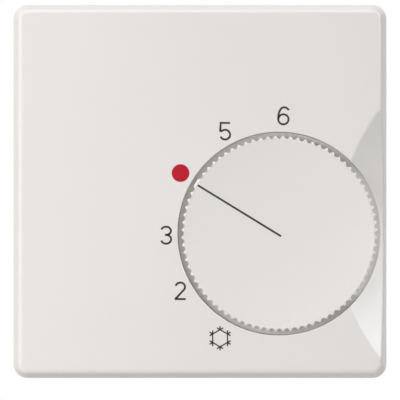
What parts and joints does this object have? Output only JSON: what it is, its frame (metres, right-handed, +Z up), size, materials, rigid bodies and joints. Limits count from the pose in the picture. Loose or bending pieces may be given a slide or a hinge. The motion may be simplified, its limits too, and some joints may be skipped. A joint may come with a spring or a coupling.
{
  "type": "wall thermostat",
  "caption": "Flush-mounted room thermostat: square satin-white cover with an offset knurled setting dial, a finger scoop at the edge, and a terminal housing behind it.",
  "frame": {"origin": "middle of the cover on the wall's surface, between the wall-box screw slots", "axes": "+X to the right seen from the front, +Z up, +Y into the wall, so the front faces -Y"},
  "size_m": [0.08, 0.0382, 0.08],
  "materials": {
    "cover_plastic": "satin moulded thermoplastic, traffic white",
    "dial_plastic": "satin moulded thermoplastic, traffic white",
    "pointer_inlay": "dark grey filled groove",
    "red_plastic": "moulded red",
    "blue_plastic": "moulded blue",
    "housing_plastic": "dark grey flame-retardant plastic",
    "plate_plastic": "brown thermoset board",
    "zinc_steel": "zinc-plated sheet",
    "spring_steel": "spring steel",
    "brass": "bare stamped brass",
    "silver": "silver contact face",
    "bimetal": "rolled bimetal strip",
    "magnet": "sintered ferrite",
    "resistor_body": "coated ceramic"
  },
  "bodies": {
    "wall_unit": {"front_cover": "cover_plastic", "setpoint_dot": "red_plastic", "low_limit_ring": "blue_plastic", "high_limit_ring": "red_plastic", "spindle_bush": "brass", "friction_washer": "spring_steel", "mechanism_plate": "plate_plastic", "plate_screw_1": "zinc_steel", "plate_screw_2": "zinc_steel", "plate_screw_3": "zinc_steel", "plate_screw_4": "zinc_steel", "cover_screw": "zinc_steel", "slider_keeper": "zinc_steel", "keeper_screw_1": "zinc_steel", "keeper_screw_2": "zinc_steel", "pivot_bracket": "brass", "pivot_pin": "zinc_steel", "contact_bracket": "brass", "calibration_screw": "brass", "fixed_contact": "silver", "magnet_holder": "housing_plastic", "snap_magnet": "magnet", "feedback_resistor": "resistor_body", "setback_resistor": "resistor_body", "feedback_resistor_lead_left": "silver", "feedback_resistor_lead_right": "silver", "setback_resistor_lead_left": "silver", "setback_resistor_lead_right": "silver", "neutral_strip": "brass", "setback_strip": "brass", "support_ring": "zinc_steel", "insert_housing": "housing_plastic", "terminal_clamp_load": "brass", "terminal_clamp_setback": "brass", "terminal_clamp_neutral": "brass", "terminal_clamp_live": "brass", "terminal_screw_load": "zinc_steel", "terminal_screw_setback": "zinc_steel", "terminal_screw_neutral": "zinc_steel", "terminal_screw_live": "zinc_steel"},
    "dial": {"dial": "dial_plastic", "pointer_inlay": "pointer_inlay", "spindle": "dial_plastic", "spindle_clip": "spring_steel", "setpoint_cam": "dial_plastic"},
    "slider": {"setpoint_slider": "dial_plastic", "range_spring": "spring_steel"},
    "contact_arm": {"bimetal_blade": "bimetal", "moving_contact": "silver", "armature": "zinc_steel"}
  },
  "joints": [
    {"name": "dial_turn", "type": "hinge", "parent": "wall_unit", "child": "dial", "pos_m": [0.01695, -0.0142, -0.009], "axis": [0, 1, 0], "range_deg": [-91.5, 61]},
    {"name": "setpoint_slide", "type": "slide", "parent": "wall_unit", "child": "slider", "axis": [0, 0, 1], "range_m": [-0.00183, 0.00122], "deforming": ["range_spring"]},
    {"name": "contact_swing", "type": "hinge", "parent": "wall_unit", "child": "contact_arm", "pos_m": [0.0315, -0.0079, 0.028], "axis": [0, -1, 0], "range_deg": [0, 1.2], "stiffness_Nm_per_rad": 0.05, "springref_deg": -5.73, "deforming": ["range_spring"]}
  ],
  "couplings": [
    {"joint": "dial_turn", "follows": "setpoint_slide", "rad_per_m": 872.66}
  ]
}
